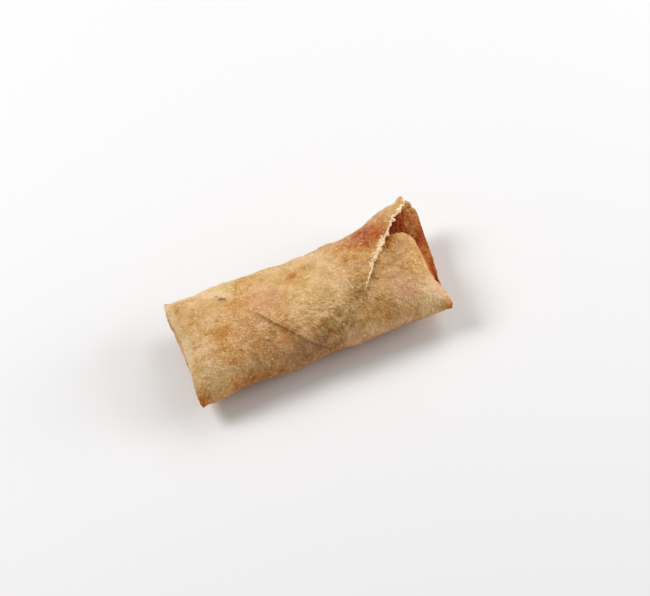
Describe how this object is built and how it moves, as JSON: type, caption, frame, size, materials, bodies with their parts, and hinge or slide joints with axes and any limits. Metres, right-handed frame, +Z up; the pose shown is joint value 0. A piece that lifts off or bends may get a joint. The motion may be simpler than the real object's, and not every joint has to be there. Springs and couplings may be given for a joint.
{
  "type": "fried spring roll",
  "caption": "Deep-fried spring roll: a square wrapper folded like an envelope round its filling, with a V-shaped closing flap that stands off as an open ear at one corner.",
  "frame": {"origin": "middle of the flat spot that the roll lies on", "axes": "+X along the roll towards the end with the open ear, +Y across the roll away from the tip of its closing flap, +Z up"},
  "size_m": [0.115, 0.0548, 0.0304],
  "materials": {
    "crust": "golden-brown fried wrapper with fine blisters and a thin film of oil"
  },
  "bodies": {
    "root": {"spring_roll": "crust"}
  },
  "joints": []
}
